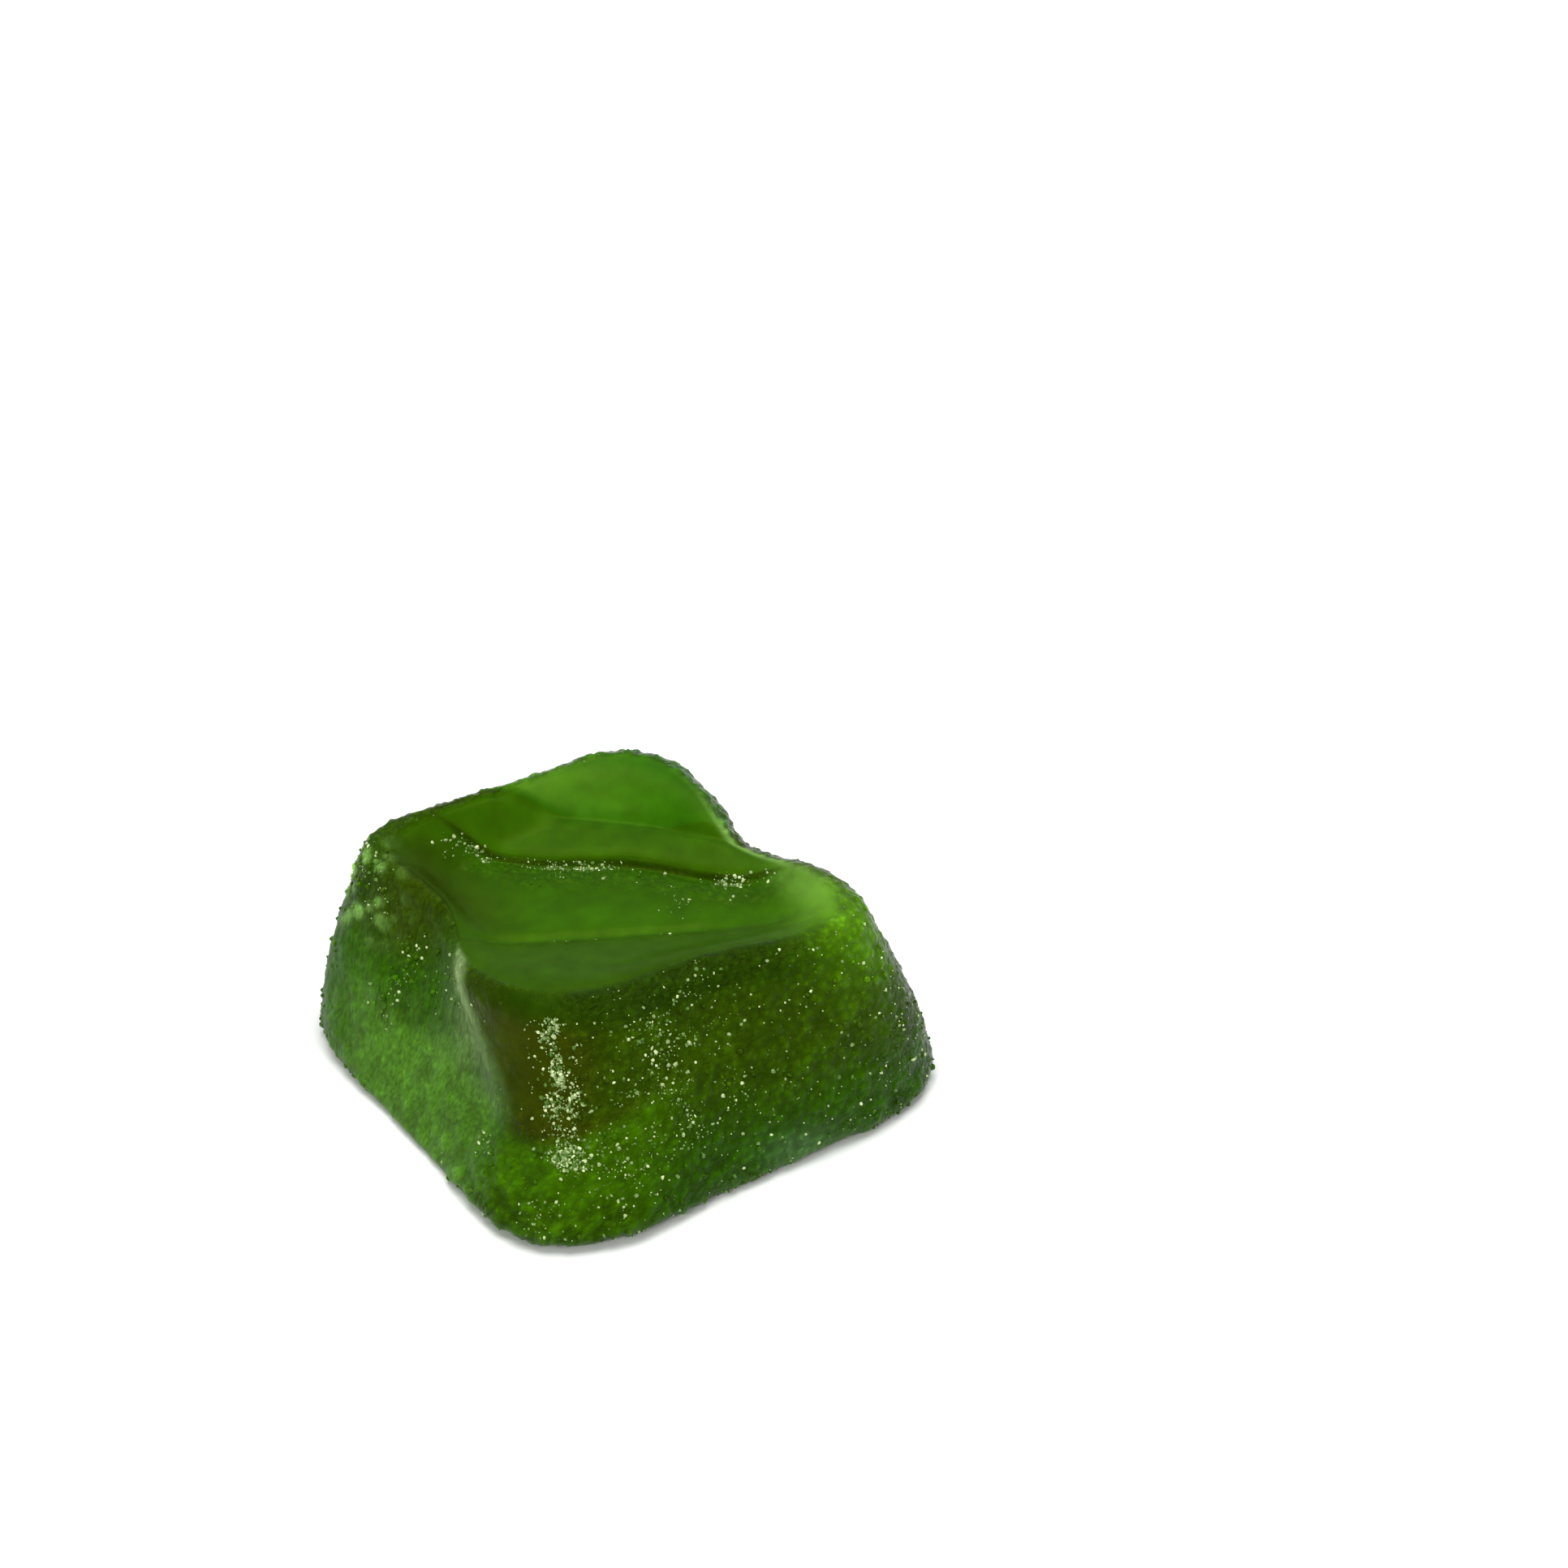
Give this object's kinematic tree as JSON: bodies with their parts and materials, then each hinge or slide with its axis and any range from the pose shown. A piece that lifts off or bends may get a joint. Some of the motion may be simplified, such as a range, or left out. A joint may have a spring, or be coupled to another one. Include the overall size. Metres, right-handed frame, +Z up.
{
  "type": "gummy candy",
  "caption": "Soft green gummy candy: a slumped square block with a folded, dished top, a hollow side and a flared foot, resting on a flat base.",
  "frame": {"origin": "centre of the bounding box at the flat base", "axes": "+Z up from the base; the rear lobe, the highest corner, is at +X +Y; the hollow side is at -X; the flared foot is the corner at -X -Y"},
  "size_m": [0.0206, 0.0206, 0.0094],
  "materials": {
    "gelatine_green": "soft gloss, translucent, with fine rough grains on the sides"
  },
  "bodies": {
    "root": {"gummy": "gelatine_green"}
  },
  "joints": []
}
